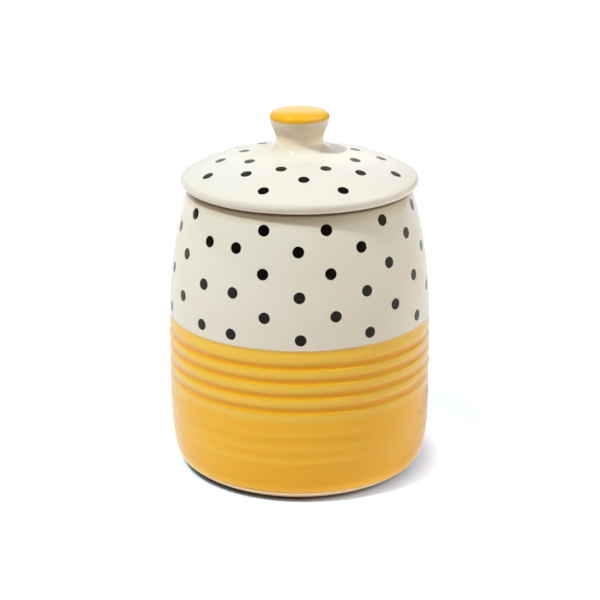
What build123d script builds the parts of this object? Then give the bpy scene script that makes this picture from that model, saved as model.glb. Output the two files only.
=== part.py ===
from build123d import *
import math
import os

# Biscuit jar: a thrown stoneware barrel with a domed, overhanging lid.
# Millimetres. +Z is up, the origin is at the middle of the foot's underside.
# Every piece is a solid of revolution about Z.

# ---------------------------------------------------------------- dimensions

# jar body, outside
BAND_Z = 94.0            # where the cream glaze meets the yellow glaze
FOOT_R = 66.4            # outer radius of the flat that the jar stands on
FOOT_IN_R = 58.0         # inner radius of the foot ring
BASE_RECESS = 1.4        # how far the underside is set up inside the foot ring
RIM_Z = 169.6            # top of the mouth's rim

# stations (z, outer radius) of the plain barrel wall, without its turned grooves
WALL = [
    (1.8, 69.4),
    (4.2, 72.7),
    (8.8, 75.4),
    (20.4, 77.2),
    (35.9, 77.85),
    (55.2, 78.08),
    (74.6, 77.92),
    (94.0, 77.4),
    (113.4, 76.5),
    (132.7, 74.05),
    (148.2, 71.05),
    (159.9, 68.05),
    (167.5, 65.7),
]

# turned grooves under the glaze line: height of each valley
GROOVES = [83.4, 74.9, 66.1, 57.4]
GROOVE_DEPTH = 0.55      # depth of a valley below the wall
GROOVE_UP = 4.6          # width of the flank above the valley
GROOVE_DOWN = 2.0        # width of the flank below the valley
RIB_CROWN = 0.18         # how far a rib bulges between two valleys
LINE_Z = 92.15           # the shallow turned line just under the glaze boundary
LINE_DEPTH = 0.26
LINE_HALF = 2.4

# jar body, inside
WALL_T = 5.2             # wall thickness
FLOOR_Z = 7.2            # inside floor
RIM_OUT_R = 2.9          # rounding of the rim's outer edge
RIM_IN_R = 1.6           # rounding of its inner edge
MOUTH_R = 59.7           # radius of the mouth's straight land
LAND_H = 9.5             # height of that land under the rim

# lid
LID_GAP = 0.3            # between the rim and the lid's underside
LID_Z = RIM_Z + LID_GAP  # the lid's flat underside, which rests on the rim
EDGE_R = 3.49            # radius of the lid's rounded edge
EDGE_CR = 66.00          # radius of that rounding's centre circle
DOME_TOP = 189.90        # where the dome would meet the axis without the knob
DOME_FALL = 19.736        # the dome's fall at DOME_REF
DOME_REF = 77.5
DOME_POW = 2.83          # nearly flat round the knob, steeper towards the edge
LID_T = 5.4              # wall thickness of the lid
FLANGE_R = 57.3          # outer radius of the locating flange
FLANGE_IN = 52.6         # inner radius of the flange
FLANGE_H = 12.4          # how far the flange reaches down from the underside

# seal seat on the flange and the seal itself
SEAT_DEPTH = 1.5
SEAT_TOP = 2.3           # below the lid's underside
SEAT_H = 7.2
SEAL_CLEAR = 0.05        # radial play between the seal and its seat
SEAL_R = 57.75           # outer radius of the seal's band
FIN_R = 59.4             # outer radius of its pressed fins: 0.3 inside the mouth
FIN_T = 0.8
FINS = [1.5, 3.7, 5.9]   # height of each fin's root above the seal's lower edge

# knob, cast in one with the lid
NECK_R = 14.00           # narrowest radius of the neck
CAP_R = 17.55            # widest radius
CAP_Z = 209.4            # height of the widest radius
CAP_H = 4.95             # rise of the cap's top above it
CAP_POW = 2.7
NECK = [                 # (z, radius) from the cap's edge down to the neck
    (208.6, 17.40),
    (207.2, 17.08),
    (205.2, 16.60),
    (203.3, 15.86),
    (201.6, 15.08),
    (199.9, 14.46),
    (198.0, 14.13),
    (195.6, 14.00),
]
FILLET = [               # (z, radius) where the neck runs out into the dome
    (194.6, 14.15),
    (193.4, 14.75),
    (192.3, 15.70),
    (191.35, 17.00),
    (190.50, 18.90),
    (189.78, 21.40),
]
VENT_R = 6.6             # recess cast up into the knob from below
VENT_TOP = 203.5

# ---------------------------------------------------------------- helpers


def natural_cubic(points):
    """Second derivatives of a natural cubic through (x, y) points."""
    n = len(points)
    x = [p[0] for p in points]
    y = [p[1] for p in points]
    a = [0.0] * n
    b = [1.0] * n
    c = [0.0] * n
    d = [0.0] * n
    for i in range(1, n - 1):
        h0, h1 = x[i] - x[i - 1], x[i + 1] - x[i]
        a[i] = h0
        b[i] = 2 * (h0 + h1)
        c[i] = h1
        d[i] = 6 * ((y[i + 1] - y[i]) / h1 - (y[i] - y[i - 1]) / h0)
    for i in range(1, n):
        w = a[i] / b[i - 1]
        b[i] -= w * c[i - 1]
        d[i] -= w * d[i - 1]
    m = [0.0] * n
    m[-1] = d[-1] / b[-1]
    for i in range(n - 2, -1, -1):
        m[i] = (d[i] - c[i] * m[i + 1]) / b[i]
    return m


WALL_M = natural_cubic(WALL)


def plain_wall(z):
    """Outer radius of the barrel at height z, without its grooves."""
    i = 0
    while i < len(WALL) - 2 and z > WALL[i + 1][0]:
        i += 1
    (x0, y0), (x1, y1) = WALL[i], WALL[i + 1]
    h = x1 - x0
    a, b = (x1 - z) / h, (z - x0) / h
    return (
        a * y0
        + b * y1
        + ((a**3 - a) * WALL_M[i] + (b**3 - b) * WALL_M[i + 1]) * h * h / 6
    )


def wall(z):
    """Outer radius at height z, with the turned grooves and the ribs between."""
    r = plain_wall(z)
    for valley in GROOVES:
        u = z - valley
        w = GROOVE_UP if u > 0 else GROOVE_DOWN
        if abs(u) < w:
            r -= GROOVE_DEPTH * 0.5 * (1 + math.cos(math.pi * u / w))
    u = z - LINE_Z
    if abs(u) < LINE_HALF:
        r -= LINE_DEPTH * 0.5 * (1 + math.cos(math.pi * u / LINE_HALF))
    edges = [LINE_Z] + GROOVES
    for high, low in zip(edges, edges[1:]):
        if low < z < high:
            r += RIB_CROWN * math.sin(math.pi * (z - low) / (high - low)) ** 2
    return r


def dome(r):
    """Height of the lid's upper surface at radius r."""
    return DOME_TOP - DOME_FALL * (r / DOME_REF) ** DOME_POW


def dome_slope(r):
    return DOME_FALL * DOME_POW / DOME_REF * (r / DOME_REF) ** (DOME_POW - 1)


def lathe(*edges):
    """A solid of revolution about Z from a closed outline in the XZ plane."""
    outline = Wire.combine(list(edges))[0]
    face = make_face(outline.edges())
    return revolve(face, Axis.Z, 360)


def P(r, z):
    return (r, 0, z)


def curve(points, start=None, end=None):
    """A smooth edge through the points, with its parameter along the chords."""
    steps = [0.0]
    for p, q in zip(points, points[1:]):
        steps.append(steps[-1] + math.dist(p, q))
    ends = None
    if start and end:
        ends = [Vector(*start).normalized(), Vector(*end).normalized()]
    return Edge.make_spline(
        [Vector(*p) for p in points], tangents=ends, parameters=steps, scale=False
    )


# ---------------------------------------------------------------- jar body

# outer wall, as one smooth curve from its lower edge up to the rim
zs = []
z = WALL[0][0]
while z < 54.0:
    zs.append(z)
    z += 2.4 if z < 12 else 5.2
z = 54.5
while z < 96.2:
    zs.append(z)
    z += 0.55
z = 99.0
while z < 164.0:
    zs.append(z)
    z += 6.6

# The rim is rounded over from the outer wall, flat on top for the lid to rest
# on, and rounded again into the mouth's land.
wall_end = 167.5
for _ in range(20):
    lean = math.atan((wall(wall_end - 0.5) - wall(wall_end)) / 0.5)
    wall_end = RIM_Z - RIM_OUT_R * (1 - math.sin(lean))
zs.append(wall_end)
R_LOW = wall(zs[0])
R_RIM = wall(wall_end)
outer = curve(
    [P(wall(z), z) for z in zs],
    (wall(zs[0] + 0.5) - wall(zs[0]), 0, 0.5),
    (-math.sin(lean), 0, math.cos(lean)),
)
rim_c = R_RIM - RIM_OUT_R * math.cos(lean)
mid = (lean + math.pi / 2) / 2
rim_out = ThreePointArc(
    P(R_RIM, wall_end),
    P(
        rim_c + RIM_OUT_R * math.cos(mid),
        RIM_Z - RIM_OUT_R + RIM_OUT_R * math.sin(mid),
    ),
    P(rim_c, RIM_Z),
)
rim_flat = Line(P(rim_c, RIM_Z), P(MOUTH_R + RIM_IN_R, RIM_Z))
rim_in = ThreePointArc(
    P(MOUTH_R + RIM_IN_R, RIM_Z),
    P(
        MOUTH_R + RIM_IN_R * (1 - math.sqrt(0.5)),
        RIM_Z - RIM_IN_R * (1 - math.sqrt(0.5)),
    ),
    P(MOUTH_R, RIM_Z - RIM_IN_R),
)
land_low = RIM_Z - LAND_H
land = Line(P(MOUTH_R, RIM_Z - RIM_IN_R), P(MOUTH_R, land_low))
# Below the land the inside opens out to the wall's own thickness.
inner_pts = [P(MOUTH_R, land_low), P(60.6, land_low - 3.4), P(63.0, land_low - 9.0)]
z = 144.0
while z > 20.0:
    inner_pts.append(P(plain_wall(z) - WALL_T, z))
    z -= 12.4
inner_pts.append(P(plain_wall(20.0) - WALL_T, 20.0))
inner = curve(inner_pts, (0, 0, -1), (-0.05, 0, -1))
r20 = plain_wall(20.0) - WALL_T
corner = curve(
    [
        P(r20, 20.0),
        P(r20 - 2.6, 12.2),
        P(r20 - 8.6, 8.15),
        P(r20 - 16.0, FLOOR_Z),
    ],
    (-0.05, 0, -1),
    (-1, 0, 0),
)
floor_in = Line(P(r20 - 16.0, FLOOR_Z), P(0, FLOOR_Z))
axis_line = Line(P(0, FLOOR_Z), P(0, BASE_RECESS))
under = Line(P(0, BASE_RECESS), P(FOOT_IN_R - 2.2, BASE_RECESS))
step_in = curve(
    [
        P(FOOT_IN_R - 2.2, BASE_RECESS),
        P(FOOT_IN_R - 0.75, BASE_RECESS * 0.55),
        P(FOOT_IN_R, 0),
    ],
    (1, 0, -0.05),
    (0.35, 0, -1),
)
stand = Line(P(FOOT_IN_R, 0), P(FOOT_R, 0))
# The foot is wiped clean of glaze and set back under the wall.
foot_side = Line(P(FOOT_R, 0), P(FOOT_R + 0.9, 0.7))
foot_up = Line(P(FOOT_R + 0.9, 0.7), P(R_LOW - 0.55, 1.35))
foot_edge = Line(P(R_LOW - 0.55, 1.35), P(R_LOW, zs[0]))

jar_body = lathe(
    outer,
    rim_out,
    rim_flat,
    rim_in,
    land,
    inner,
    corner,
    floor_in,
    axis_line,
    under,
    step_in,
    stand,
    foot_side,
    foot_up,
    foot_edge,
)

# ---------------------------------------------------------------- lid

# rounded edge: its arc runs from the underside round to the dome's slope
join_r = EDGE_CR
for _ in range(60):
    ang = math.atan(dome_slope(join_r))
    join_r = EDGE_CR + EDGE_R * math.sin(ang)
edge_cz = dome(join_r) - EDGE_R * math.cos(ang)
LID_UNDER = edge_cz - EDGE_R
half = (-90 + (90 - math.degrees(ang))) / 2
edge_arc = ThreePointArc(
    P(EDGE_CR, LID_UNDER),
    P(
        EDGE_CR + EDGE_R * math.cos(math.radians(half)),
        edge_cz + EDGE_R * math.sin(math.radians(half)),
    ),
    P(join_r, dome(join_r)),
)

# dome and knob, from the edge up to the top
top_pts = [P(join_r, dome(join_r))]
for r in (64.0, 58.0, 52.0, 45.0, 38.0, 31.0, 25.5):
    top_pts.append(P(r, dome(r)))
top_pts += [P(r, z) for z, r in reversed(FILLET)]
top_pts.append(P(NECK_R, 195.6))
s = dome_slope(join_r)
dome_curve = curve(top_pts, (-1, 0, s), (0, 0, 1))
neck_curve = curve(
    [P(r, z) for z, r in reversed(NECK)] + [P(CAP_R, CAP_Z)], (0, 0, 1), (0, 0, 1)
)
cap_pts = [P(CAP_R, CAP_Z)]
for t in (0.16, 0.32, 0.46, 0.58, 0.70, 0.82, 0.92):
    u = 1 - t
    rr = CAP_R * (1 - (1 - u) ** 2.2) if t < 0.5 else CAP_R * u
    cap_pts.append(P(rr, CAP_Z + CAP_H * (1 - (rr / CAP_R) ** CAP_POW) ** (1 / CAP_POW)))
cap_pts = sorted(set(cap_pts), key=lambda p: -p[0])
cap_pts.append(P(0, CAP_Z + CAP_H))
cap_curve = curve(cap_pts, (0, 0, 1), (-1, 0, 0))

# underside: land on the rim, seal seat on the flange, hollow dome, knob recess
u0 = LID_UNDER
seat_hi = u0 - SEAT_TOP
seat_lo = seat_hi - SEAT_H
SEAT_R = FLANGE_R - SEAT_DEPTH
flange_lo = u0 - FLANGE_H
hollow = [(FLANGE_IN, dome(FLANGE_IN) - LID_T - 1.3)]
for r in (46.0, 40.0, 33.0, 26.0, 20.0, 14.0):
    hollow.append((r, dome(r) - LID_T - 0.35))
under_pts = [P(r, z) for r, z in hollow]

axis_lid = Line(P(0, CAP_Z + CAP_H), P(0, VENT_TOP))
vent_top = curve(
    [
        P(0, VENT_TOP),
        P(VENT_R * 0.62, VENT_TOP - 1.1),
        P(VENT_R, VENT_TOP - 5.2),
    ],
    (1, 0, 0),
    (0, 0, -1),
)
vent_side = Line(P(VENT_R, VENT_TOP - 5.2), P(VENT_R, dome(14.0) - LID_T + 2.0))
vent_lip = curve(
    [
        P(VENT_R, dome(14.0) - LID_T + 2.0),
        P(VENT_R + 1.5, dome(14.0) - LID_T + 0.15),
        P(VENT_R + 3.9, dome(14.0) - LID_T - 0.26),
        P(14.0, dome(14.0) - LID_T - 0.35),
    ],
    (0, 0, -1),
    (1, 0, -dome_slope(14.0)),
)
hollow_curve = curve(
    list(reversed(under_pts)), (1, 0, -dome_slope(14.0)), (0.75, 0, -1)
)
fl_in_top = under_pts[0][2]
flange_inner = Line(P(FLANGE_IN, fl_in_top), P(FLANGE_IN, flange_lo + 1.2))
tip = 1.2
cut = tip * (1 - math.sqrt(0.5))
flange_tip_in = ThreePointArc(
    P(FLANGE_IN, flange_lo + tip),
    P(FLANGE_IN + cut, flange_lo + cut),
    P(FLANGE_IN + tip, flange_lo),
)
flange_tip_flat = Line(P(FLANGE_IN + tip, flange_lo), P(FLANGE_R - tip, flange_lo))
flange_tip_out = ThreePointArc(
    P(FLANGE_R - tip, flange_lo),
    P(FLANGE_R - cut, flange_lo + cut),
    P(FLANGE_R, flange_lo + tip),
)
flange_low = Line(P(FLANGE_R, flange_lo + tip), P(FLANGE_R, seat_lo))
seat_a = Line(P(FLANGE_R, seat_lo), P(SEAT_R, seat_lo))
seat_b = Line(P(SEAT_R, seat_lo), P(SEAT_R, seat_hi))
seat_c = Line(P(SEAT_R, seat_hi), P(FLANGE_R, seat_hi))
flange_high = Line(P(FLANGE_R, seat_hi), P(FLANGE_R, u0 - 0.8))
flange_root = Line(P(FLANGE_R, u0 - 0.8), P(FLANGE_R + 0.8, u0))
rest = Line(P(FLANGE_R + 0.8, u0), P(EDGE_CR, u0))

lid = lathe(
    edge_arc,
    dome_curve,
    neck_curve,
    cap_curve,
    axis_lid,
    vent_top,
    vent_side,
    vent_lip,
    hollow_curve,
    flange_inner,
    flange_tip_in,
    flange_tip_flat,
    flange_tip_out,
    flange_low,
    seat_a,
    seat_b,
    seat_c,
    flange_high,
    flange_root,
    rest,
)

# ---------------------------------------------------------------- lid seal

# A silicone band in the flange's seat, with three fins swept upwards as the
# mouth presses them.
s_in = SEAT_R + SEAL_CLEAR
s_lo = seat_lo + 0.15
s_hi = seat_hi - 0.15
pts = [P(s_in, s_lo), P(SEAL_R, s_lo)]
for root in FINS:
    base = s_lo + root - 0.5
    pts += [
        P(SEAL_R, base),
        P(FIN_R - 0.25, base + 0.55),
        P(FIN_R, base + 0.55 + FIN_T * 0.5),
        P(FIN_R - 0.25, base + 0.55 + FIN_T * 0.75),
        P(SEAL_R, base + FIN_T + 0.1),
    ]
pts += [P(SEAL_R, s_hi), P(s_in, s_hi)]
lid_seal = lathe(Polyline(*pts, close=True))

# ---------------------------------------------------------------- export

os.makedirs("parts", exist_ok=True)
for name, solid in (("jar_body", jar_body), ("lid", lid), ("lid_seal", lid_seal)):
    solid.label = name
    export_step(solid, f"parts/{name}.step")
    box = solid.bounding_box()
    print(name, "volume", round(solid.volume), "z", round(box.min.Z, 2), round(box.max.Z, 2), "r", round(box.max.X, 2))
print("lid underside", round(LID_UNDER, 3), "wanted", LID_Z)
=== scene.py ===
import math

import bpy
import numpy as np
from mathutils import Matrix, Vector


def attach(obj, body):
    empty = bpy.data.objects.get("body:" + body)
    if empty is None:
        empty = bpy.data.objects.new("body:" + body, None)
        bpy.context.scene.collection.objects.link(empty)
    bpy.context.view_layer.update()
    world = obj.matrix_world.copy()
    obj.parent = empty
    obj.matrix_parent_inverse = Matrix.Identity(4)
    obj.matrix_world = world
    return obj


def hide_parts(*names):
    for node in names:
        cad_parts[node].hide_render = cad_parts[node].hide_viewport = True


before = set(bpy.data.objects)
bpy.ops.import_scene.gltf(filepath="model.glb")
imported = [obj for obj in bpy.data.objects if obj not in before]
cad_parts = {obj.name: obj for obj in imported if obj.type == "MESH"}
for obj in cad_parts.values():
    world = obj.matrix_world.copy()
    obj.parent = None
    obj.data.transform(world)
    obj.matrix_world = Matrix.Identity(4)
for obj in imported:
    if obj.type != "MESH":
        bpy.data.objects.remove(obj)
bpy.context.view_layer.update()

# The looks of a stoneware biscuit jar. Profiles are in millimetres, as the CAD
# gives them, and the meshes are made in metres.

MM = 0.001
SEG = 256                # segments round the axis

# ------------------------------------------------------------ camera

cam_data = bpy.data.cameras.new("camera")
cam = bpy.data.objects.new("camera", cam_data)
bpy.context.scene.collection.objects.link(cam)
cam.location = (0.0, -0.9519, 0.4240)
cam.rotation_mode = "QUATERNION"
cam.rotation_quaternion = Vector((0.0, 0.94484, -0.32755)).to_track_quat("-Z", "Y")
cam_data.sensor_width = 36.0
cam_data.lens = 101.04
cam_data.shift_x = 0.0006
cam_data.shift_y = 0.0100
cam_data.clip_start = 0.01
cam_data.clip_end = 60.0
bpy.context.scene.camera = cam

view = bpy.context.scene.view_settings
view.view_transform = "Standard"
view.look = "None"
view.exposure = 0.0
view.gamma = 1.0

# ------------------------------------------------------------ profiles

BAND_Z = 94.0
RIM_Z = 169.6
WALL = [(1.8, 69.4), (4.2, 72.7), (8.8, 75.4), (20.4, 77.2), (35.9, 77.85),
        (55.2, 78.08), (74.6, 77.92), (94.0, 77.4), (113.4, 76.5), (132.7, 74.05),
        (148.2, 71.05), (159.9, 68.05), (167.5, 65.7)]
GROOVES = [83.4, 74.9, 66.1, 57.4]
GROOVE_DEPTH, GROOVE_UP, GROOVE_DOWN = 0.55, 4.6, 2.0
RIB_CROWN = 0.18
LINE_Z, LINE_DEPTH, LINE_HALF = 92.15, 0.26, 2.4
RINGS, RING_PALE, RING_H = (43.6, 34.7, 27.0), (0.22, 0.42, 0.42), (0.26, 0.17, 0.24)
WALL_T, FLOOR_Z = 5.2, 7.2
RIM_OUT_R, RIM_IN_R, MOUTH_R, LAND_H = 2.9, 1.6, 59.7, 9.5
FOOT_R, FOOT_IN_R, BASE_RECESS = 66.4, 58.0, 1.4

EDGE_R, EDGE_CR, EDGE_CZ = 3.49, 66.00, 173.389
DOME_TOP, DOME_FALL, DOME_REF, DOME_POW = 189.90, 19.736, 77.5, 2.83
LID_T, FLANGE_R, FLANGE_IN, FLANGE_H = 5.4, 57.3, 52.6, 12.4
SEAT_DEPTH, SEAT_TOP, SEAT_H = 1.5, 2.3, 7.2
NECK = [(208.6, 17.40), (207.2, 17.08), (205.2, 16.60), (203.3, 15.86),
        (201.6, 15.08), (199.9, 14.46), (198.0, 14.13), (195.6, 14.00)]
FILLET = [(194.6, 14.15), (193.4, 14.75), (192.3, 15.70), (191.35, 17.00),
          (190.50, 18.90), (189.78, 21.40)]
CAP_R, CAP_Z, CAP_H, CAP_POW = 17.55, 209.4, 4.95, 2.7
VENT_R, VENT_TOP = 6.6, 203.5


class Cubic:
    """Natural cubic through points, or clamped where an end slope is given."""

    def __init__(self, x, y, s0=None, s1=None):
        self.x, self.y = np.array(x, float), np.array(y, float)
        n = len(self.x)
        h = np.diff(self.x)
        a = np.zeros((n, n))
        d = np.zeros(n)
        for i in range(1, n - 1):
            a[i, i - 1], a[i, i], a[i, i + 1] = h[i - 1], 2 * (h[i - 1] + h[i]), h[i]
            d[i] = 6 * ((self.y[i + 1] - self.y[i]) / h[i] - (self.y[i] - self.y[i - 1]) / h[i - 1])
        a[0, 0] = a[-1, -1] = 1.0
        if s0 is not None:
            a[0, 0], a[0, 1] = 2 * h[0], h[0]
            d[0] = 6 * ((self.y[1] - self.y[0]) / h[0] - s0)
        if s1 is not None:
            a[-1, -1], a[-1, -2] = 2 * h[-1], h[-1]
            d[-1] = 6 * (s1 - (self.y[-1] - self.y[-2]) / h[-1])
        self.m = np.linalg.solve(a, d)

    def __call__(self, q):
        q = np.asarray(q, float)
        i = np.clip(np.searchsorted(self.x, q) - 1, 0, len(self.x) - 2)
        h = self.x[i + 1] - self.x[i]
        a, b = (self.x[i + 1] - q) / h, (q - self.x[i]) / h
        return (a * self.y[i] + b * self.y[i + 1]
                + ((a**3 - a) * self.m[i] + (b**3 - b) * self.m[i + 1]) * h * h / 6)


plain_wall = Cubic([p[0] for p in WALL], [p[1] for p in WALL])


def groove_share(z):
    """0 on the plain wall, 1 at the bottom of a turned groove."""
    z = np.asarray(z, float)
    share = np.zeros_like(z)
    for valley in GROOVES:
        u = z - valley
        w = np.where(u > 0, GROOVE_UP, GROOVE_DOWN)
        share += np.where(np.abs(u) < w, 0.5 * (1 + np.cos(math.pi * u / w)), 0)
    return share


def line_share(z):
    u = np.asarray(z, float) - LINE_Z
    return np.where(np.abs(u) < LINE_HALF, 0.5 * (1 + np.cos(math.pi * u / LINE_HALF)), 0)


def smooth(lo, hi, x):
    t = np.clip((np.asarray(x, float) - lo) / (hi - lo), 0, 1)
    return t * t * (3 - 2 * t)


def pool_share(z):
    """Where the glaze has gathered: in each groove and on the wall just over it."""
    z = np.asarray(z, float)
    share = np.zeros_like(z)
    for valley in GROOVES:
        u = z - valley
        share = np.maximum(share, smooth(-1.2, 0.3, u) * (1 - smooth(1.5, 3.3, u)))
    return share


def rib_share(z):
    """How little glaze is left where it has run: most across the middle of each
    raised band, and a little on the rings below them."""
    z = np.asarray(z, float)
    share = np.zeros_like(z)
    edges = [BAND_Z + 0.6] + GROOVES
    for high, low in zip(edges, edges[1:]):
        t = np.clip((high - z) / (high - low), 0, 1)
        first = 0.02 if high > BAND_Z else 0.06
        here = smooth(first, first + 0.26, t)
        share += np.where((z > low) & (z < high), here, 0)
    share += np.where(z < GROOVES[-1], 0.95 * smooth(GROOVES[-1] - 0.8, GROOVES[-1] - 3.2, z)
                      * smooth(48.0, 54.0, z), 0)
    for ring, much in zip(RINGS, RING_PALE):
        share += much * np.exp(-(((z - ring) / 1.9) ** 2))
    return np.clip(share, 0, 1)


def throwing(z):
    """Faint rings left by turning, under the lowest groove."""
    z = np.asarray(z, float)
    return sum(h * np.exp(-(((z - ring + 1.5) / 2.3) ** 2)) for ring, h in zip(RINGS, RING_H))


def wall(z):
    z = np.asarray(z, float)
    r = plain_wall(z) - GROOVE_DEPTH * groove_share(z) - LINE_DEPTH * line_share(z)
    edges = [LINE_Z] + GROOVES
    for high, low in zip(edges, edges[1:]):
        inside = (z > low) & (z < high)
        r = r + np.where(inside, RIB_CROWN * np.sin(math.pi * (z - low) / (high - low)) ** 2, 0)
    return r + throwing(z)


def dome(r):
    return DOME_TOP - DOME_FALL * (np.asarray(r, float) / DOME_REF) ** DOME_POW


def dome_slope(r):
    return DOME_FALL * DOME_POW / DOME_REF * (r / DOME_REF) ** (DOME_POW - 1)


def arc(cr, cz, radius, a0, a1, n):
    """Points on a circle in the (r, z) plane; angles in degrees from +r towards +z."""
    t = np.radians(np.linspace(a0, a1, n))
    return [(cr + radius * math.cos(a), cz + radius * math.sin(a)) for a in t]


def chord_curve(points, s0, s1, n):
    """A smooth line through points by chord length, with end directions s0 and s1."""
    p = np.array(points, float)
    t = np.concatenate([[0], np.cumsum(np.hypot(*np.diff(p, axis=0).T))])
    s0, s1 = np.array(s0, float), np.array(s1, float)
    s0, s1 = s0 / np.linalg.norm(s0), s1 / np.linalg.norm(s1)
    cr, cz = Cubic(t, p[:, 0], s0[0], s1[0]), Cubic(t, p[:, 1], s0[1], s1[1])
    q = np.linspace(0, t[-1], n)
    return list(zip(cr(q), cz(q)))


# ------------------------------------------------------------ meshes


def dot_field(co, dots, frames):
    """For every vertex: its offset from the nearest dot's centre, along two
    directions on the surface, and its distance from it, in millimetres."""
    best = np.full(len(co), 1e9)
    out = np.zeros((len(co), 3), np.float32)
    for c, (t, u) in zip(dots, frames):
        d = co - c
        dist = np.sqrt((d**2).sum(1))
        near = dist < best
        best[near] = dist[near]
        out[near, 0] = d[near] @ t
        out[near, 1] = d[near] @ u
        out[near, 2] = dist[near]
    return out


def lathe(name, outline, warp=None, uv=None):
    """A closed mesh turned round Z from outline, points (r, z) in mm that start
    and end on the axis, or that form a closed ring if neither end is on it."""
    pts = np.array(outline, float)
    closed = pts[0, 0] > 1e-6 or pts[-1, 0] > 1e-6
    body = pts if closed else pts[1:-1]
    n = len(body)
    th = np.arange(SEG) * 2 * math.pi / SEG
    r = np.repeat(body[:, 0][:, None], SEG, 1)
    z = np.repeat(body[:, 1][:, None], SEG, 1)
    t = np.repeat(th[None, :], n, 0)
    if warp:
        r, z = warp(r, z, t)
    # angle 0 faces the front, -Y, and grows towards +X
    co = np.stack([r * np.sin(t), -r * np.cos(t), z], -1).reshape(-1, 3)
    if not closed:
        co = np.vstack([co, [[0, 0, pts[0, 1]], [0, 0, pts[-1, 1]]]])
    faces, info = [], []
    rings = n if closed else n - 1
    for i in range(rings):
        a, b = i, (i + 1) % n
        for j in range(SEG):
            k = (j + 1) % SEG
            faces.append((a * SEG + j, a * SEG + k, b * SEG + k, b * SEG + j))
            info.append((i, j))
    if not closed:
        lo, hi = n * SEG, n * SEG + 1
        for j in range(SEG):
            k = (j + 1) % SEG
            faces.append((lo, k, j))
            info.append((-1, j))
            faces.append(((n - 1) * SEG + j, (n - 1) * SEG + k, hi))
            info.append((n - 1, j))
    mesh = bpy.data.meshes.new(name)
    mesh.from_pydata((co * MM).tolist(), [], faces)
    mesh.update()
    mesh.polygons.foreach_set("use_smooth", np.ones(len(mesh.polygons), bool))
    obj = bpy.data.objects.new(name, mesh)
    bpy.context.scene.collection.objects.link(obj)
    if uv:
        layer = mesh.uv_layers.new(name="OFBake")
        data = np.zeros((len(mesh.loops), 2), np.float32)
        at = 0
        for face, (i, j) in zip(faces, info):
            for vert in face:
                if vert >= n * SEG:
                    ring, seg = (0 if i == -1 else n - 1), j
                    data[at] = uv(i, j, ring, seg, True)
                else:
                    ring, seg = divmod(vert, SEG)
                    seg = SEG if (seg == 0 and j == SEG - 1) else seg
                    data[at] = uv(i, j, ring, seg, False)
                at += 1
        layer.data.foreach_set("uv", data.ravel())
    return obj, co, body


def attribute(obj, name, values, kind="FLOAT"):
    values = np.asarray(values, np.float32)
    a = obj.data.attributes.new(name, kind, "POINT")
    a.data.foreach_set("vector" if kind == "FLOAT_VECTOR" else "value", values.ravel())


def lengths(pts):
    return np.concatenate([[0], np.cumsum(np.hypot(*np.diff(np.array(pts, float), axis=0).T))])


# -- jar

lean_z = 167.5
for _ in range(20):
    lean = math.atan(float((plain_wall(lean_z - 0.5) - plain_wall(lean_z)) / 0.5))
    lean_z = RIM_Z - RIM_OUT_R * (1 - math.sin(lean))
r_rim = float(plain_wall(lean_z))
rim_c = r_rim - RIM_OUT_R * math.cos(lean)

zs = list(np.concatenate([
    np.arange(1.8, 6.0, 0.35), np.arange(6.0, 14.0, 0.8), np.arange(14.0, 54.5, 1.0),
    np.arange(54.5, 96.0, 0.38), np.arange(96.0, lean_z - 1.0, 1.65), [lean_z]]))
outer = [(float(wall(z)), float(z)) for z in zs]
low_r = outer[0][0]
foot = [(0.0, BASE_RECESS)]
foot += [(q, BASE_RECESS) for q in (6, 14, 22, 30, 38, 46, 52, 54.6)]
foot += [(FOOT_IN_R - 2.2, BASE_RECESS - 0.02), (FOOT_IN_R - 1.4, BASE_RECESS * 0.84),
         (FOOT_IN_R - 0.75, BASE_RECESS * 0.55), (FOOT_IN_R - 0.25, BASE_RECESS * 0.22),
         (FOOT_IN_R, 0.05), (FOOT_IN_R + 0.25, 0.0), (60.0, 0.0), (62.2, 0.0), (64.5, 0.0),
         (FOOT_R - 0.3, 0.0), (FOOT_R + 0.05, 0.07), (FOOT_R + 0.4, 0.32),
         (FOOT_R + 0.9, 0.68), (FOOT_R + 1.8, 1.05), (low_r - 0.75, 1.27),
         (low_r - 0.35, 1.4), (low_r - 0.12, 1.55)]
rim = arc(rim_c, RIM_Z - RIM_OUT_R, RIM_OUT_R, math.degrees(lean), 90.0, 12)[1:]
rim += [(q, RIM_Z) for q in np.linspace(rim_c, MOUTH_R + RIM_IN_R, 4)[1:-1]]
rim += arc(MOUTH_R + RIM_IN_R, RIM_Z - RIM_IN_R, RIM_IN_R, 90.0, 180.0, 9)
inner_z = [20.0, 32.4, 44.8, 57.2, 69.6, 82.0, 94.4, 106.8, 119.2, 131.6, 144.0]
inner = Cubic(inner_z + [RIM_Z - LAND_H - 9.0, RIM_Z - LAND_H - 3.4, RIM_Z - LAND_H],
              [float(plain_wall(z)) - WALL_T for z in inner_z] + [63.0, 60.6, MOUTH_R], None, 0.0)
inside = [(MOUTH_R, z) for z in np.linspace(RIM_Z - RIM_IN_R, RIM_Z - LAND_H, 6)[1:]]
inside += [(float(inner(z)), float(z)) for z in np.arange(RIM_Z - LAND_H - 1.2, 20.5, -1.9)]
r20 = float(plain_wall(20.0)) - WALL_T
corner = chord_curve([(r20, 20.0), (r20 - 2.6, 12.2), (r20 - 8.6, 8.15), (r20 - 16.0, FLOOR_Z)],
                     (-0.05, -1.0), (-1.0, 0.0), 16)
floor_in = [(q, FLOOR_Z) for q in np.arange(r20 - 18.5, 1.0, -2.5)] + [(0.0, FLOOR_Z)]
jar_line = foot + outer + rim + inside + corner + floor_in

# the outline's indices where one part of it ends and the next begins
i_wall = len(foot) - 1                    # first wall ring, with the axis point left out
i_rim = i_wall + len(outer) + 11          # the rim's crest
i_corner = i_wall + len(outer) + len(rim) + len(inside)
jar_s = lengths(jar_line)[1:-1]


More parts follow.
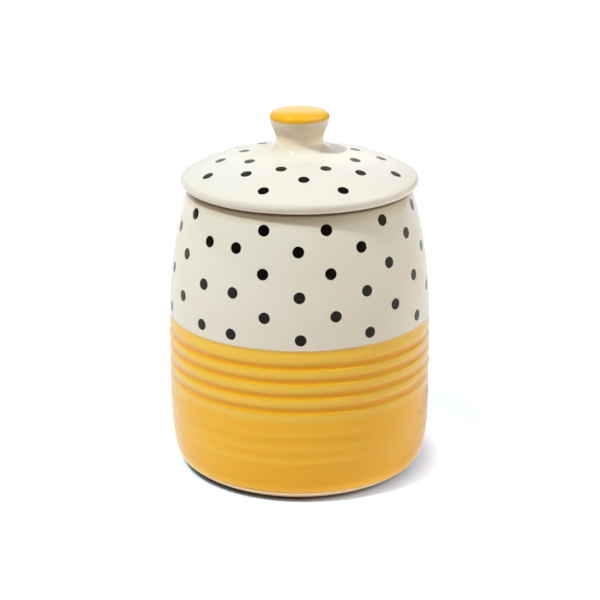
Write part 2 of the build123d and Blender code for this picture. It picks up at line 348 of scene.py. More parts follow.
def jar_uv(i, j, ring, seg, pole):
    """Wall in two halves at 2.9 px to the mm of a 1024 px square, the inside in
    a column beside them, the two floors as discs."""
    px = 1.0 / 1024
    if i_wall <= i < i_rim:
        half = 0 if j < SEG // 2 else 1
        u = 8 + (seg - half * SEG // 2) * (716.0 / (SEG // 2))
        v = 8 + half * 508 + (jar_s[ring] - jar_s[i_wall]) / (jar_s[i_rim] - jar_s[i_wall]) * 498
        return u * px, v * px
    if i_rim <= i < i_corner:
        u = 738 + (jar_s[ring] - jar_s[i_rim]) / (jar_s[i_corner] - jar_s[i_rim]) * 146
        v = 8 + seg * (1006.0 / SEG)
        return u * px, v * px
    a = 2 * math.pi * seg / SEG
    if i < i_wall:
        top = jar_s[i_wall] + 6.0
        q = 0.0 if pole else (jar_s[ring] + 6.0) / top * 60
        return (954 + q * math.cos(a)) * px, (70 + q * math.sin(a)) * px
    end = jar_s[-1] + 2.5
    q = 0.0 if pole else (end - jar_s[ring]) / (end - jar_s[i_corner]) * 60
    return (954 + q * math.cos(a)) * px, (204 + q * math.sin(a)) * px


def jar_warp(r, z, t):
    """The hand's unevenness: turning rings inside, a wall that is hardly out of
    round, and never wider than its plain shape."""
    out = np.zeros_like(r)
    rows = np.arange(r.shape[0])[:, None] * np.ones_like(r)
    is_wall = (rows >= i_wall) & (rows < i_rim - 10)
    fade = smooth(4.0, 20.0, z) * (1 - smooth(150.0, 164.0, z))
    wob = (0.05 * np.cos(2 * t + 0.7 + 0.02 * z) + 0.03 * np.cos(3 * t + 2.1 - 0.035 * z)
           + 0.012 * np.cos(7 * t + 0.11 * z) - 0.092)
    out += np.where(is_wall, wob * fade, 0)
    is_in = (rows >= i_corner - len(inside) + 6) & (rows < i_corner + 3)
    fade_in = smooth(14.0, 24.0, z) * (1 - smooth(138.0, 152.0, z))
    out += np.where(is_in, 0.16 * np.cos(2 * math.pi * z / 10.5 + t + 0.4 * np.sin(t * 2)) * fade_in, 0)
    is_floor = rows > i_corner + 12
    dz = np.where(is_floor & (r > 4), 0.12 * np.cos(2 * math.pi * r / 9.0 - t) * smooth(4, 12, r) * (1 - smooth(46, 56, r)), 0)
    return r + out, z + dz


jar, jar_co, jar_body = lathe("jar_glazed", jar_line, jar_warp, jar_uv)

# -- dots, in rows on two transfers that meet at -38 and 142 degrees

DOT_R = 3.30
ROWS = [
    (160.9, [(-16.9, 160.3), (12.5, 160.9), (43.1, 161.8), (73.6, 162.4), (103.9, 162.7), (134.2, 163.1)],
            [(-60.4, 160.9), (-90.9, 160.4), (-121.3, 160.2), (-151.2, 160.0), (178.6, 159.9), (148.9, 159.8)]),
    (149.6, [(-29.9, 149.2), (-0.6, 149.5), (29.0, 150.0), (59.0, 150.6), (89.4, 150.9), (119.3, 151.2)],
            [(-45.4, 149.4), (-75.1, 149.4), (-105.2, 149.0), (-135.4, 148.8), (-165.3, 148.9), (164.4, 148.7)]),
    (137.4, [(-16.2, 136.7), (13.6, 137.2), (43.4, 138.3), (74.3, 138.1), (104.4, 138.6), (134.1, 139.0)],
            [(-61.4, 137.7), (-91.2, 137.2), (-121.0, 136.9), (-151.4, 136.9), (178.4, 136.6), (148.6, 136.8)]),
    (125.0, [(-29.8, 124.3), (-0.1, 124.5), (30.0, 125.5), (60.3, 125.9), (90.2, 126.0), (120.1, 126.5)],
            [(-46.0, 125.1), (-75.4, 124.8), (-105.8, 124.5), (-135.6, 124.6), (-165.8, 124.3), (164.2, 124.4)]),
    (113.2, [(-14.9, 112.4), (15.3, 113.2), (45.1, 113.9), (76.0, 113.8), (105.8, 114.2), (135.7, 114.6)],
            [(-61.0, 113.2), (-91.3, 112.9), (-121.5, 112.6), (-151.3, 112.7), (178.5, 112.4), (148.7, 112.5)]),
    (100.8, [(-30.1, 100.4), (0.4, 100.3), (30.8, 101.4), (61.3, 101.3), (91.2, 101.8), (121.4, 102.0)],
            [(-46.1, 101.5), (-75.9, 100.6), (-106.0, 100.2), (-136.0, 100.3), (-166.2, 100.1), (164.0, 100.2)]),
]
LID_DOTS = [
    (-20.0, -56.1), (24.0, -54.8), (54.8, -20.9), (53.8, 22.8), (23.2, 53.6), (-21.2, 54.0),
    (-53.4, 20.5), (-52.0, -26.1),
    (2.3, -48.1), (34.3, -33.2), (47.4, -0.4), (37.2, 26.8), (-0.8, 45.6), (-38.2, 25.3),
    (-45.7, -6.9), (-29.9, -36.5),
    (-10.4, -35.2), (14.7, -33.8), (31.8, -15.5), (32.5, 8.4), (9.5, 31.8),
    (-21.9, 22.6), (-32.2, 4.2), (-28.5, -19.2),
]


def wall_dots():
    centres, frames = [], []
    for _, right, left in ROWS:
        for deg, z in right + left:
            a = math.radians(deg)
            r = float(plain_wall(z))
            s = float(plain_wall(z + 0.5) - plain_wall(z - 0.5))
            centres.append(np.array([r * math.sin(a), -r * math.cos(a), z]))
            u = np.array([s * math.sin(a), -s * math.cos(a), 1.0])
            frames.append((np.array([math.cos(a), math.sin(a), 0.0]), u / np.linalg.norm(u)))
    return centres, frames


def dome_dots():
    centres, frames = [], []
    for x, y in LID_DOTS:
        r = math.hypot(x, y)
        s = float(dome_slope(r))
        centres.append(np.array([x, y, float(dome(r))]))
        u = np.array([x / r, y / r, -s])
        frames.append((np.array([-y / r, x / r, 0.0]), u / np.linalg.norm(u)))
    return centres, frames


jar_r = np.hypot(jar_co[:, 0], jar_co[:, 1])
ring_no = np.minimum(np.arange(len(jar_co)) // SEG, len(jar_body) - 1)
on_wall = (ring_no >= i_wall) & (ring_no < i_rim) & (np.arange(len(jar_co)) < len(jar_body) * SEG)
field = dot_field(jar_co, *wall_dots())
field[~on_wall] = (99.0, 99.0, 99.0)
attribute(jar, "dot", field, "FLOAT_VECTOR")
attribute(jar, "pool", np.where(on_wall, pool_share(jar_co[:, 2]), 0))
attribute(jar, "pale_glaze_and_sheen", np.where(on_wall, rib_share(jar_co[:, 2]), 0))
attribute(jar, "indoors", np.where((ring_no >= i_rim) & (jar_co[:, 2] > 5.0), 1.0, 0.0))
attribute(jar, "painted_light", np.zeros(len(jar_co)))
# painted shade: the cream darkened and warmed in a band just under the lid, where its shadow falls
attribute(jar, "warm_and_painted_shade", np.where(on_wall, 0.9 * smooth(161.5, 165.8, jar_co[:, 2]), 0))
# the rim's top left unglazed, and painted dark as the shade in the crevice under the lid
attribute(jar, "wiped_and_shaded", smooth(167.2, 168.8, jar_co[:, 2]))

# -- lid

ang = math.atan(float(dome_slope(EDGE_CR)))
for _ in range(60):
    join_r = EDGE_CR + EDGE_R * math.sin(ang)
    ang = math.atan(float(dome_slope(join_r)))
under = EDGE_CZ - EDGE_R
seat_hi = under - SEAT_TOP
seat_lo = seat_hi - SEAT_H
SEAT_R = FLANGE_R - SEAT_DEPTH
flange_lo = under - FLANGE_H
tip = 1.2

lid_top = [(0.0, CAP_Z + CAP_H)]
for q in np.concatenate([np.linspace(0.06, 0.8, 14), 1 - 0.2 * np.linspace(0.93, 0.0, 16) ** 1.9]):
    lid_top.append((CAP_R * q, CAP_Z + CAP_H * (1 - min(q, 1.0) ** CAP_POW) ** (1 / CAP_POW)))
lid_top[-1] = (CAP_R, CAP_Z)
neck = chord_curve([(CAP_R, CAP_Z)] + [(r, z) for z, r in NECK], (0, -1), (0, -1), 30)[1:]
run = chord_curve([(NECK[-1][1], NECK[-1][0])] + [(r, z) for z, r in FILLET]
                  + [(r, float(dome(r))) for r in (25.5, 31.0, 38.0)],
                  (0, -1), (1, -float(dome_slope(38.0))), 44)[1:]
dome_line = [(r, float(dome(r))) for r in np.linspace(38.0, join_r, 30)[1:]]
edge = arc(EDGE_CR, EDGE_CZ, EDGE_R, 90 - math.degrees(ang), -90.0, 30)[1:]
land = [(q, under) for q in np.linspace(EDGE_CR, FLANGE_R + 0.8, 7)[1:]]
root = arc(FLANGE_R + 0.8, under - 0.8, 0.8, 90, 180, 6)[1:]
root = [(q, z) for q, z in root]
fl_out = [(FLANGE_R, z) for z in np.linspace(under - 0.8, seat_hi, 4)[1:]]
seat = [(FLANGE_R - 0.2, seat_hi), (SEAT_R + 0.3, seat_hi), (SEAT_R, seat_hi - 0.3)]
seat += [(SEAT_R, z) for z in np.linspace(seat_hi - 1.0, seat_lo + 1.0, 4)]
seat += [(SEAT_R, seat_lo + 0.3), (SEAT_R + 0.3, seat_lo), (FLANGE_R - 0.2, seat_lo), (FLANGE_R, seat_lo - 0.2)]
fl_low = arc(FLANGE_R - tip, flange_lo + tip, tip, 0, -90, 8)
fl_low += [((FLANGE_R + FLANGE_IN) / 2, flange_lo)]
fl_low += arc(FLANGE_IN + tip, flange_lo + tip, tip, -90, -180, 8)
hollow_r = [46.0, 40.0, 33.0, 26.0, 20.0, 14.0]
hollow_pts = [(FLANGE_IN, float(dome(FLANGE_IN)) - LID_T - 1.3)]
hollow_pts += [(r, float(dome(r)) - LID_T - 0.35) for r in hollow_r]
fl_in = [(FLANGE_IN, z) for z in np.linspace(flange_lo + tip, hollow_pts[0][1], 9)[1:-1]]
hollow = chord_curve(hollow_pts, (-0.75, 1.0), (-1.0, float(dome_slope(14.0))), 40)
d14 = float(dome(14.0)) - LID_T
lip = chord_curve([(14.0, d14 - 0.35), (VENT_R + 3.9, d14 - 0.26), (VENT_R + 1.5, d14 + 0.15),
                   (VENT_R, d14 + 2.0)], (-1.0, float(dome_slope(14.0))), (0, 1), 16)[1:]
vent = [(VENT_R, z) for z in np.linspace(d14 + 2.0, VENT_TOP - 5.2, 8)[1:]]
vent += chord_curve([(VENT_R, VENT_TOP - 5.2), (VENT_R * 0.62, VENT_TOP - 1.1), (0.0, VENT_TOP)],
                    (0, 1), (-1, 0), 10)[1:]
vent[-1] = (0.0, VENT_TOP)
lid_line = lid_top + neck + run + dome_line + edge + land + root + fl_out + seat + fl_low + fl_in + hollow + lip + vent
# from the underside up, so that faces point outwards
lid_line = lid_line[::-1]
n_lid = len(lid_line)
k_cap = n_lid - len(lid_top)                       # index in lid_line of the cap's widest ring
k_run = n_lid - len(lid_top) - len(neck) - 24      # where the fillet has run out
k_edge = n_lid - len(lid_top) - len(neck) - len(run) - len(dome_line) - 20   # under the edge's widest ring
lid_s = lengths(lid_line)[1:-1]
i_cap, i_run, i_edge = k_cap - 1, k_run - 1, k_edge - 1


def lid_uv(i, j, ring, seg, pole):
    """Dome as a large disc, knob as a strip with its top as a disc, underside as
    a smaller disc."""
    px = 1.0 / 1024
    a = 2 * math.pi * seg / SEG
    if i >= i_cap:
        end = lid_s[-1] + CAP_R * 0.06
        q = 0.0 if pole else (end - lid_s[ring]) / (end - lid_s[i_cap]) * 120
        return (878 + q * math.sin(a)) * px, (420 + q * math.cos(a)) * px
    if i >= i_run:
        u = 8 + seg * (724.0 / SEG)
        v = 750 + (lid_s[ring] - lid_s[i_run]) / (lid_s[i_cap] - lid_s[i_run]) * 200
        return u * px, v * px
    if i >= i_edge:
        q = lid_r(ring) / 74.0 * 362
        return (372 + q * math.sin(a)) * px, (372 + q * math.cos(a)) * px
    q = 0.0 if pole else (lid_s[ring] + 1.5) / (lid_s[i_edge] + 1.5) * 136
    return (878 + q * math.sin(a)) * px, (146 + q * math.cos(a)) * px


def lid_r(ring):
    """Distance along the surface from the knob's foot, counted as a radius."""
    return 18.0 + (lid_s[i_run] - lid_s[ring])


def lid_warp(r, z, t):
    top = smooth(178.0, 182.0, z) * (1 - smooth(190.0, 196.0, z)) * smooth(22.0, 30.0, r)
    dz = (0.04 * np.cos(2 * t + 1.3) * smooth(24, 50, r) + 0.05 * np.cos(2 * math.pi * r / 11.0 + 0.5 * np.sin(t)) - 0.09) * top
    return r, z + dz


lid, lid_co, lid_body = lathe("lid_glazed", lid_line, lid_warp, lid_uv)
field = dot_field(lid_co, *dome_dots())
lid_ring = np.minimum(np.arange(len(lid_co)) // SEG, len(lid_body) - 1)
top_side = (lid_ring >= i_edge + 6) & (lid_ring < i_cap) & (np.arange(len(lid_co)) < len(lid_body) * SEG)
field[~top_side] = (99.0, 99.0, 99.0)
attribute(lid, "dot", field, "FLOAT_VECTOR")
attribute(lid, "pool", np.zeros(len(lid_co)))
# the knob's top a paler yellow: a painted sheen
attribute(lid, "pale_glaze_and_sheen", 0.24 * smooth(209.9, 211.4, lid_co[:, 2]))
attribute(lid, "indoors", np.where(lid_ring < i_edge, 1.0, 0.0) * (np.arange(len(lid_co)) < len(lid_body) * SEG + 1))
lid_rr = np.hypot(lid_co[:, 0], lid_co[:, 1])
# painted light: the lid's lower edge, the neck's lower part and a band under the cap made paler where bounced light
# and reflection fall
painted_light = np.exp(-(((lid_rr - 67.8) / 0.9) ** 2)) * np.exp(-(((lid_co[:, 2] - 170.4) / 0.7) ** 2))
painted_light += 0.85 * smooth(200.6, 198.0, lid_co[:, 2]) * smooth(192.4, 195.2, lid_co[:, 2])
painted_light += 0.30 * np.exp(-(((lid_co[:, 2] - 195.8) / 1.0) ** 2))
painted_light += 0.45 * np.exp(-(((lid_co[:, 2] - 208.4) / 0.5) ** 2))
attribute(lid, "painted_light", painted_light)
# a warmer cream on the neck, and painted shade on the dome round the knob's foot
attribute(lid, "warm_and_painted_shade", np.maximum((lid_co[:, 2] > 188.0) * (1 - smooth(14.2, 16.2, lid_rr)),
                                np.maximum(smooth(194.5, 196.0, lid_co[:, 2]),
                                           0.25 * (lid_co[:, 2] > 186.0) * (1 - smooth(18.0, 40.0, lid_rr)))))
# the land under the lid's edge left unglazed, painted as dark as the shade in the crevice
attribute(lid, "wiped_and_shaded", (1 - smooth(65.8, 66.8, lid_rr)) * smooth(57.6, 58.2, lid_rr)
          * (1 - smooth(170.2, 170.6, lid_co[:, 2])) * (lid_co[:, 2] > 168.9))

# -- seal: a silicone band with three fins swept up, every corner rounded

SEAL_IN, SEAL_R, FIN_R = SEAT_R + 0.05, 57.75, 59.4
s_lo, s_hi = seat_lo + 0.15, seat_hi - 0.15
seal_line = [(SEAL_IN + 0.25, s_lo)]
seal_line += [(SEAL_R - 0.25, s_lo), (SEAL_R - 0.07, s_lo + 0.07), (SEAL_R, s_lo + 0.25)]
for fin in (1.5, 3.7, 5.9):
    b = s_lo + fin - 0.5
    seal_line += [(SEAL_R, b - 0.16), (SEAL_R + 0.05, b - 0.03), (SEAL_R + 0.22, b + 0.10)]
    seal_line += [(SEAL_R + 0.8, b + 0.30), (FIN_R - 0.40, b + 0.50), (FIN_R - 0.14, b + 0.63),
                  (FIN_R - 0.03, b + 0.80), (FIN_R - 0.03, b + 0.96), (FIN_R - 0.15, b + 1.08),
                  (FIN_R - 0.35, b + 1.12), (FIN_R - 0.8, b + 1.06), (SEAL_R + 0.30, b + 0.94),
                  (SEAL_R + 0.08, b + 0.97), (SEAL_R, b + 1.12)]
seal_line += [(SEAL_R, s_hi - 0.12), (SEAL_R - 0.06, s_hi - 0.03), (SEAL_R - 0.2, s_hi)]
seal_line += [(SEAL_IN + 0.25, s_hi), (SEAL_IN + 0.07, s_hi - 0.07), (SEAL_IN, s_hi - 0.25)]
seal_line += [(SEAL_IN, (s_hi + s_lo) / 2), (SEAL_IN, s_lo + 0.25), (SEAL_IN + 0.07, s_lo + 0.07)]
seal, seal_co, _ = lathe("seal_ring", seal_line)

# ------------------------------------------------------------ materials


class Graph:
    """Short names for building a node tree."""

    def __init__(self, name):
        self.mat = bpy.data.materials.new(name)
        self.mat.use_nodes = True
        self.tree = self.mat.node_tree
        self.tree.nodes.clear()
        self.out = self.tree.nodes.new("ShaderNodeOutputMaterial")
        self.pos = None

    def node(self, kind, **props):
        n = self.tree.nodes.new(kind)
        for k, v in props.items():
            setattr(n, k, v)
        return n

    def put(self, socket, value):
        if isinstance(value, bpy.types.NodeSocket):
            self.tree.links.new(value, socket)
        elif isinstance(value, (tuple, list)) and len(value) == 3 and socket.type == "RGBA":
            socket.default_value = (*value, 1.0)
        else:
            socket.default_value = value

    def math(self, op, *args, clamp=False):
        n = self.node("ShaderNodeMath", operation=op, use_clamp=clamp)
        for s, v in zip(n.inputs, args):
            self.put(s, v)
        return n.outputs[0]

    def step(self, x, lo, hi, out0=0.0, out1=1.0):
        """Smooth change from out0 to out1 as x goes from lo to hi."""
        n = self.node("ShaderNodeMapRange", interpolation_type="SMOOTHSTEP")
        self.put(n.inputs["Value"], x)
        self.put(n.inputs["From Min"], lo)
        self.put(n.inputs["From Max"], hi)
        self.put(n.inputs["To Min"], out0)
        self.put(n.inputs["To Max"], out1)
        return n.outputs["Result"]

    def mix(self, fac, a, b, blend="MIX"):
        n = self.node("ShaderNodeMix", data_type="RGBA", blend_type=blend)
        self.put(n.inputs["Factor"], fac)
        self.put(n.inputs[6], a)
        self.put(n.inputs[7], b)
        return n.outputs[2]

    def coords(self):
        if self.pos is None:
            self.pos = self.node("ShaderNodeTexCoord").outputs["Object"]
        return self.pos

    def scaled(self, x, y, z):
        n = self.node("ShaderNodeMapping")
        self.put(n.inputs["Vector"], self.coords())
        n.inputs["Scale"].default_value = (x, y, z)
        return n.outputs["Vector"]

    def noise(self, scale, detail=2.0, rough=0.5, vector=None, distortion=0.0):
        n = self.node("ShaderNodeTexNoise")
        self.put(n.inputs["Vector"], vector or self.coords())
        n.inputs["Scale"].default_value = scale
        n.inputs["Detail"].default_value = detail
        n.inputs["Roughness"].default_value = rough
        n.inputs["Distortion"].default_value = distortion
        return n.outputs["Fac"]

    def cells(self, scale, feature="F1", randomness=1.0):
        n = self.node("ShaderNodeTexVoronoi", feature=feature)
        self.put(n.inputs["Vector"], self.coords())
        n.inputs["Scale"].default_value = scale
        n.inputs["Randomness"].default_value = randomness
        return n

    def attr(self, name):
        return self.node("ShaderNodeAttribute", attribute_name=name)

    def centred(self, x, gain):
        """x, a 0 to 1 noise, as a swing of gain about zero."""
        return self.math("MULTIPLY", self.math("SUBTRACT", x, 0.5), gain)


def glaze(name, paint_z, above, warm_and_shade_tint, tilt=0.0):
    """Glossy glaze over stoneware: cream, a golden yellow on one side of
    paint_z (mm), black dots, bare clay at the foot.
    above says whether the yellow lies over or under that height."""
    g = Graph(name)
    xyz = g.node("ShaderNodeSeparateXYZ")
    g.put(xyz.inputs[0], g.coords())
    z = g.math("MULTIPLY", xyz.outputs["Z"], 1000.0)
    x = g.math("MULTIPLY", xyz.outputs["X"], 1000.0)
    broad = g.noise(14.0, 3.0, 0.5)
    fine = g.noise(160.0, 3.0, 0.55)
    hair = g.noise(900.0, 2.0, 0.5)
    ringy = g.noise(1.0, 2.0, 0.5, g.scaled(10.0, 10.0, 260.0))
    pool = g.attr("pool").outputs["Fac"]
    indoors = g.attr("indoors").outputs["Fac"]
    painted_light = g.attr("painted_light").outputs["Fac"]
    warm_and_painted_shade = g.attr("warm_and_painted_shade").outputs["Fac"]
    pale_glaze_and_sheen = g.attr("pale_glaze_and_sheen").outputs["Fac"]
    wiped_and_shaded = g.attr("wiped_and_shaded").outputs["Fac"]

    # cream
    cream = g.mix(g.step(broad, 0.3, 0.7), CREAM_A, CREAM_B)
    cream = g.mix(g.math("MULTIPLY", g.step(fine, 0.45, 0.8), 0.16), cream, CREAM_C)
    # painted light: paler cream where bounced light and reflection fall on the lid
    cream = g.mix(g.math("MULTIPLY", painted_light, 0.9), cream, CREAM_PAINTED_LIGHT)
    # painted shade: darker, warmer cream under the lid and round the knob's foot; a warmer neck
    cream = g.mix(warm_and_painted_shade, cream, g.mix(1.0, cream, warm_and_shade_tint, "MULTIPLY"))
    chance = g.step(g.noise(260.0, 1.0, 0.5), 0.69, 0.74)
    iron = g.math("MULTIPLY", g.step(g.cells(420.0).outputs["Distance"], 0.22, 0.10), chance)
    cream = g.mix(g.math("MULTIPLY", iron, 0.35), cream, (0.30, 0.20, 0.11))

    # yellow: thick and deep in the grooves, thinner and paler on the ribs; on the knob's top paler too, a painted
    # sheen
    yellow = g.mix(g.step(broad, 0.3, 0.7), YELLOW_A, YELLOW_B)
    yellow = g.mix(g.math("MULTIPLY", g.step(ringy, 0.42, 0.75), 0.22), yellow, YELLOW_PALE)
    yellow = g.mix(g.math("MULTIPLY", pale_glaze_and_sheen, 0.95), yellow, YELLOW_RIB_AND_SHEEN)
    yellow = g.mix(pool, yellow, YELLOW_DEEP)
    yellow = g.mix(g.math("MULTIPLY", g.step(fine, 0.5, 0.8), 0.14), yellow, YELLOW_PALE)

    if not above:
        yellow = g.mix(g.step(z, 13.0, 7.5), yellow, YELLOW_BASE)

    wave = g.centred(g.noise(34.0, 2.0, 0.5), 0.7)
    wave = g.math("ADD", wave, g.centred(hair, 0.12))
    height = g.math("ADD", z, wave)
    height = g.math("ADD", height, g.math("MULTIPLY", x, -tilt))
    if above:
        is_yellow = g.step(height, paint_z - 0.16, paint_z + 0.16)
        lap = g.math("MULTIPLY", g.step(height, paint_z - 0.75, paint_z - 0.1),
                     g.step(height, paint_z + 0.5, paint_z + 0.05))
    else:
        is_yellow = g.step(height, paint_z + 0.16, paint_z - 0.16)
        lap = g.math("MULTIPLY", g.step(height, paint_z - 1.7, paint_z - 0.35),
                     g.step(height, paint_z + 0.62, paint_z + 0.1))
    is_yellow = g.math("MULTIPLY", is_yellow, g.math("SUBTRACT", 1.0, indoors))
    lap = g.math("MULTIPLY", lap, g.math("SUBTRACT", 1.0, indoors))
    colour = g.mix(is_yellow, cream, yellow)
    colour = g.mix(g.math("MULTIPLY", lap, LAP_SHARE), colour, LAP)

    # dots
    vec = g.attr("dot").outputs["Vector"]
    sep = g.node("ShaderNodeSeparateXYZ")
    g.put(sep.inputs[0], vec)
    du, dv, dd = sep.outputs[0], sep.outputs[1], sep.outputs[2]
    flat = g.math("SQRT", g.math("ADD", g.math("MULTIPLY", du, du), g.math("MULTIPLY", dv, dv)))
    ragged = g.math("ADD", flat, g.centred(g.noise(420.0, 2.0, 0.5), 0.28))
    radius = DOT_R if not above else LID_DOT_R
    dot = g.math("MULTIPLY", g.step(ragged, radius + 0.10, radius - 0.10),
                 g.step(dd, radius + 1.9, radius + 1.5))
    ink = g.mix(g.step(fine, 0.35, 0.7), INK_A, INK_B)
    colour = g.mix(dot, colour, ink)

    # bare clay
    line = g.math("ADD", z, g.centred(g.noise(60.0, 2.0, 0.5), 0.5))
    bare = g.step(line, BARE_Z + 2.4, BARE_Z - 2.3)
    grain = g.noise(1500.0, 3.0, 0.6)
    clay = g.mix(g.step(grain, 0.3, 0.75), CLAY_A, CLAY_B)
    # painted shade: the clay darker below 4.8 mm, towards the floor
    clay = g.mix(g.step(z, 4.8, 2.4), clay, g.mix(g.step(grain, 0.3, 0.75), CLAY_FOOT_SHADE_A, CLAY_FOOT_SHADE_B))
    colour = g.mix(bare, colour, clay)
    # wiped, unglazed rim and land, painted dark as the shade in the crevice between lid and jar
    wiped_clay_shade = g.mix(g.step(grain, 0.3, 0.75), WIPED_SHADE_A, WIPED_SHADE_B)
    colour = g.mix(wiped_and_shaded, colour, wiped_clay_shade)
    bare = g.math("MAXIMUM", bare, wiped_and_shaded)

    rough = g.math("ADD", 0.075, g.math("MULTIPLY", fine, 0.05))
    rough = g.math("ADD", rough, g.math("MULTIPLY", dot, 0.03))
    rough = g.math("ADD", rough, g.math("MULTIPLY", bare, 0.62), clamp=True)

    # orange peel in the glaze, grain in the clay
    peel = g.math("ADD", g.math("MULTIPLY", g.noise(210.0, 2.0, 0.5), 1.0),
                  g.math("MULTIPLY", g.noise(700.0, 1.0, 0.5), 0.12))
    peel = g.math("ADD", peel, g.math("MULTIPLY", g.noise(70.0, 1.0, 0.5), 1.6))
    height_map = g.math("ADD", g.math("MULTIPLY", peel, g.math("SUBTRACT", 1.0, bare)),
                        g.math("MULTIPLY", g.math("MULTIPLY", grain, bare), 2.2))
    height_map = g.math("ADD", height_map, g.math("MULTIPLY", dot, 0.9))
    bump = g.node("ShaderNodeBump")
    bump.inputs["Strength"].default_value = 0.6
    bump.inputs["Distance"].default_value = 0.000035
    g.put(bump.inputs["Height"], height_map)

    bsdf = g.node("ShaderNodeBsdfPrincipled")
    g.put(bsdf.inputs["Base Color"], colour)
    g.put(bsdf.inputs["Roughness"], rough)
    g.put(bsdf.inputs["Normal"], bump.outputs[0])
    bsdf.inputs["IOR"].default_value = 1.5
    bsdf.inputs["Specular IOR Level"].default_value = SPEC
    # a glassy skin, most on the yellow, which lies thicker
    g.put(bsdf.inputs["Coat Weight"], g.math("MULTIPLY", g.math("MULTIPLY_ADD", is_yellow, 0.18, 0.12), g.math("SUBTRACT", 1.0, bare)))
    bsdf.inputs["Coat Roughness"].default_value = 0.08
    bsdf.inputs["Coat IOR"].default_value = 1.2
    g.tree.links.new(bsdf.outputs[0], g.out.inputs[0])
    return g.mat


CREAM_A = (0.732, 0.687, 0.574)
CREAM_B = (0.745, 0.705, 0.600)
CREAM_C = (0.714, 0.652, 0.525)
# a paler cream for painted light
CREAM_PAINTED_LIGHT = (0.920, 0.860, 0.750)
YELLOW_A = (0.828, 0.415, 0.011)
YELLOW_B = (0.842, 0.430, 0.014)
YELLOW_BASE = (0.940, 0.520, 0.030)
YELLOW_PALE = (0.860, 0.500, 0.045)
YELLOW_DEEP = (0.775, 0.328, 0.003)
# paler yellow for thin glaze on the ribs, and for a painted sheen on the knob's top
YELLOW_RIB_AND_SHEEN = (0.825, 0.516, 0.062)
LAP = (0.62, 0.46, 0.17)
LAP_SHARE = 0.50
INK_A = (0.0030, 0.0018, 0.0010)
INK_B = (0.0060, 0.0040, 0.0026)
CLAY_A = (0.92, 0.80, 0.57)
CLAY_B = (0.95, 0.86, 0.65)
# the foot's clay darker near the floor: painted shade
CLAY_FOOT_SHADE_A = (0.55, 0.47, 0.36)
CLAY_FOOT_SHADE_B = (0.62, 0.54, 0.43)
# the wiped rim's dark colour: painted shade
WIPED_SHADE_A = (0.27, 0.20, 0.12)
WIPED_SHADE_B = (0.34, 0.26, 0.17)
SPEC = 0.28
PAPER_A = (0.70, 0.79, 0.93)
PAPER_B = (0.71, 0.80, 0.94)
LIFT_FROM, LIFT_TO, LIFT = 0.0685, 0.0895, 0.62
LID_DOT_R = 3.20
BARE_Z = 5.4

# tints for the band under the lid (painted shade) and for the neck and the knob's foot (warmer neck, painted shade)
jar_mat = glaze("jar_glaze", BAND_Z, above=False, warm_and_shade_tint=(0.86, 0.81, 0.73))
BARE_Z = -50.0
lid_mat = glaze("lid_glaze", 209.1, above=True, warm_and_shade_tint=(1.0, 0.93, 0.82), tilt=0.022)
for obj, mat in ((jar, jar_mat), (lid, lid_mat)):
    obj.data.materials.append(mat)


def silicone():
    g = Graph("silicone")
    broad = g.noise(30.0, 2.0, 0.5)
    fine = g.noise(900.0, 2.0, 0.5)
    colour = g.mix(g.step(broad, 0.3, 0.7), (0.74, 0.74, 0.70), (0.80, 0.80, 0.77))
    colour = g.mix(g.math("MULTIPLY", g.step(fine, 0.55, 0.8), 0.2), colour, (0.68, 0.68, 0.64))
    bump = g.node("ShaderNodeBump")
    bump.inputs["Strength"].default_value = 0.5
    bump.inputs["Distance"].default_value = 0.00003
    g.put(bump.inputs["Height"], fine)
    bsdf = g.node("ShaderNodeBsdfPrincipled")
    g.put(bsdf.inputs["Base Color"], colour)
    g.put(bsdf.inputs["Roughness"], g.math("ADD", 0.34, g.math("MULTIPLY", fine, 0.12)))
    g.put(bsdf.inputs["Normal"], bump.outputs[0])
    bsdf.inputs["IOR"].default_value = 1.41
    bsdf.inputs["Subsurface Weight"].default_value = 0.25
    bsdf.inputs["Subsurface Radius"].default_value = (0.004, 0.004, 0.0035)
    bsdf.inputs["Subsurface Scale"].default_value = 1.0
    g.tree.links.new(bsdf.outputs[0], g.out.inputs[0])
    return g.mat


seal.data.materials.append(silicone())

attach(jar, "jar")
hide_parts("jar_body")
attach(lid, "lid")
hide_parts("lid")
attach(seal, "seal")
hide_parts("lid_seal")

# ------------------------------------------------------------ floor and light

LIGHT = 1.08

floor_mesh = bpy.data.meshes.new("floor")
ring_r = [0.0, 0.05, 0.1, 0.2, 0.4, 0.8, 1.6, 3.2, 6.4, 14.0]
verts, faces = [(0.0, 0.0, -0.0003)], []
M = 96
for q in ring_r[1:]:
    for k in range(M):
        a = 2 * math.pi * k / M
        verts.append((q * math.cos(a), q * math.sin(a), -0.0003))
for k in range(M):
    faces.append((0, 1 + k, 1 + (k + 1) % M))
for i in range(len(ring_r) - 2):
    for k in range(M):
        a, b = 1 + i * M, 1 + (i + 1) * M
        faces.append((a + k, b + k, b + (k + 1) % M, a + (k + 1) % M))
floor_mesh.from_pydata(verts, [], faces)
floor = bpy.data.objects.new("floor", floor_mesh)
bpy.context.scene.collection.objects.link(floor)

